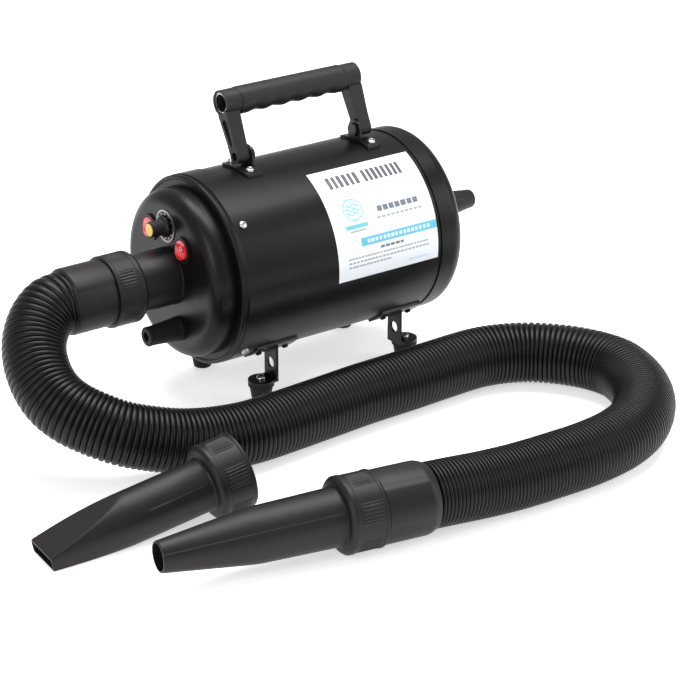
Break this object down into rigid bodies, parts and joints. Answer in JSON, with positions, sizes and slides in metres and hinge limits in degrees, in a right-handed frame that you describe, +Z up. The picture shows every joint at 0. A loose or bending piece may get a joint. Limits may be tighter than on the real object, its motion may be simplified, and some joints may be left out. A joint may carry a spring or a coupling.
{
  "type": "pet dryer",
  "caption": "Cylindrical pet grooming blower on rubber feet, with folding carry handle, front controls, ribbed flexible hose, round nozzle and a loose flat nozzle.",
  "frame": {"origin": "on the floor, at the middle of the rectangle made by the four foot screw pockets, under the middle of the blower body", "axes": "+X along the blower axis from the outlet end to the air intake, +Z up, -Y towards the side with the label"},
  "size_m": [0.6368, 0.4818, 0.2888],
  "materials": {
    "black_paint": "satin gloss paint",
    "black_plastic": "satin",
    "grey_plastic": "fine grain",
    "hose_plastic": "ribbed satin",
    "bright_steel": "zinc plated",
    "black_rubber": "matte",
    "red_plastic": "gloss",
    "yellow_plastic": "gloss",
    "label_film": "printed film",
    "zinc_sheet": "zinc plated",
    "cast_alloy": "pressed",
    "lamination_steel": "varnished",
    "copper_windings": "varnished",
    "brush_carbon": "matte",
    "mica_board": "matte",
    "heater_wire": "oxidised",
    "circuit_board": "lacquered",
    "open_foam": "open cell foam"
  },
  "bodies": {
    "blower": {"body_tube": "black_paint", "front_ring": "black_paint", "front_cover": "black_paint", "front_ring_screws": "bright_steel", "rear_cap": "black_paint", "rear_cap_screws": "bright_steel", "intake_grille": "black_plastic", "filter_foam": "open_foam", "filter_stud": "bright_steel", "handle_bracket_front": "black_paint", "handle_bracket_rear": "black_paint", "handle_bracket_screws": "bright_steel", "handle_pivot_pins": "bright_steel", "foot_bracket_front_left": "black_paint", "foot_bracket_front_right": "black_paint", "foot_bracket_rear_left": "black_paint", "foot_bracket_rear_right": "black_paint", "foot_bracket_screws": "black_paint", "rubber_foot_front_left": "black_rubber", "rubber_foot_front_right": "black_rubber", "rubber_foot_rear_left": "black_rubber", "rubber_foot_rear_right": "black_rubber", "foot_screws": "bright_steel", "outlet_spigot": "black_plastic", "outlet_nut": "black_plastic", "hose_cuff_dryer": "black_plastic", "hose": "hose_plastic", "hose_cuff_nozzle": "black_plastic", "power_switch_body": "black_plastic", "heat_switch_body": "black_plastic", "speed_potentiometer": "zinc_sheet", "speed_dial": "bright_steel", "cable_gland": "black_rubber", "cable_gland_nut": "black_plastic", "rating_label": "label_film", "motor_bulkhead": "zinc_sheet", "motor_mount_ring": "black_rubber", "fan_housing": "zinc_sheet", "motor_frame": "zinc_sheet", "motor_stator": "lamination_steel", "motor_bearings": "bright_steel", "motor_brushes": "brush_carbon", "heater_frame": "mica_board", "heater_coil": "heater_wire", "control_board": "circuit_board"},
    "handle": {"handle_grip": "grey_plastic", "handle_core_tube": "bright_steel", "handle_arm_front": "grey_plastic", "handle_arm_rear": "grey_plastic"},
    "speed_knob": {"speed_knob": "black_plastic", "speed_knob_cap": "yellow_plastic", "speed_shaft": "bright_steel"},
    "power_rocker": {"power_rocker": "red_plastic"},
    "heat_rocker": {"heat_rocker": "red_plastic"},
    "rotor": {"fan_impeller": "cast_alloy", "motor_armature": "copper_windings"},
    "filter_knob": {"filter_knob": "black_plastic"},
    "hose_collar": {"hose_collar": "black_plastic"},
    "round_nozzle": {"round_nozzle": "black_plastic"},
    "flat_nozzle": {"flat_nozzle": "black_plastic"}
  },
  "joints": [
    {"name": "handle_fold", "type": "hinge", "parent": "blower", "child": "handle", "pos_m": [0, 0, 0.2295], "axis": [1, 0, 0], "range_deg": [-54, 106]},
    {"name": "speed_knob_turn", "type": "hinge", "parent": "blower", "child": "speed_knob", "pos_m": [-0.1617, 0.003, 0.1767], "axis": [1, 0, 0], "range_deg": [0, 280]},
    {"name": "power_rocker_tilt", "type": "hinge", "parent": "blower", "child": "power_rocker", "pos_m": [-0.1497, 0.031, 0.167], "axis": [0, 1, 0], "range_deg": [-16, 0]},
    {"name": "heat_rocker_tilt", "type": "hinge", "parent": "blower", "child": "heat_rocker", "pos_m": [-0.1497, -0.0255, 0.1615], "axis": [0, 1, 0], "range_deg": [-16, 0]},
    {"name": "rotor_spin", "type": "hinge", "parent": "blower", "child": "rotor", "pos_m": [0, 0, 0.128], "axis": [1, 0, 0], "continuous": true},
    {"name": "filter_knob_turn", "type": "hinge", "parent": "blower", "child": "filter_knob", "pos_m": [0.19, 0, 0.128], "axis": [1, 0, 0], "range_deg": [0, 720]},
    {"name": "hose_collar_turn", "type": "hinge", "parent": "blower", "child": "hose_collar", "pos_m": [-0.21, 0, 0.128], "axis": [1, 0, 0], "continuous": true},
    {"name": "round_nozzle_turn", "type": "hinge", "parent": "blower", "child": "round_nozzle", "pos_m": [-0.17516, -0.33999, 0.0342], "axis": [-0.986, 0.1668, 0], "continuous": true},
    {"name": "flat_nozzle_lift", "type": "slide", "parent": "blower", "child": "flat_nozzle", "axis": [0, 0, 1], "range_m": [0, 0.25]}
  ]
}
